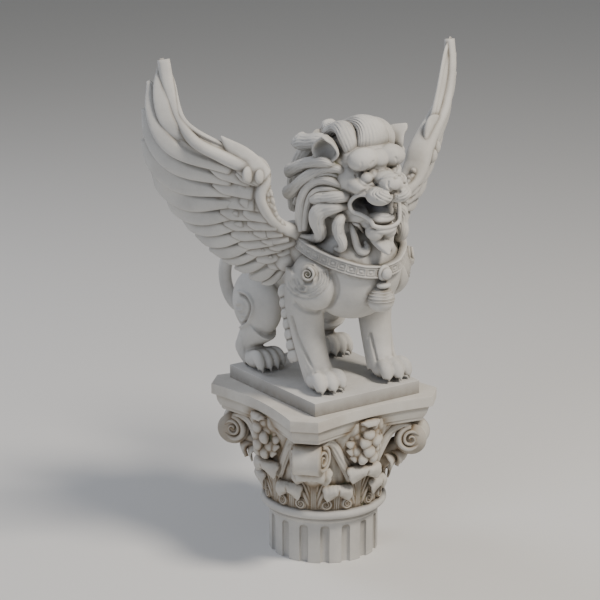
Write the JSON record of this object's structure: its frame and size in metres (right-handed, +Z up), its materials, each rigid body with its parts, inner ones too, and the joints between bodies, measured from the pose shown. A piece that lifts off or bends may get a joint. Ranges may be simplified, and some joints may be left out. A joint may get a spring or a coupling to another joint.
{
  "type": "winged lion column",
  "caption": "Carved winged guardian lion with collar and bell, on a rectangular slab, a Corinthian capital and a short fluted column drum cut flat below.",
  "frame": {"origin": "centre of the column drum's flat underside", "axes": "+Z up along the column's axis, -Y the way the lion faces, +X to the lion's left"},
  "size_m": [1.2326, 0.8466, 1.6855],
  "materials": {
    "pale_stone": "matte carved pale limestone, faintly brown in the hollows"
  },
  "bodies": {
    "root": {"column_shaft": "pale_stone", "capital": "pale_stone", "plinth_slab": "pale_stone", "winged_lion": "pale_stone"}
  },
  "joints": []
}
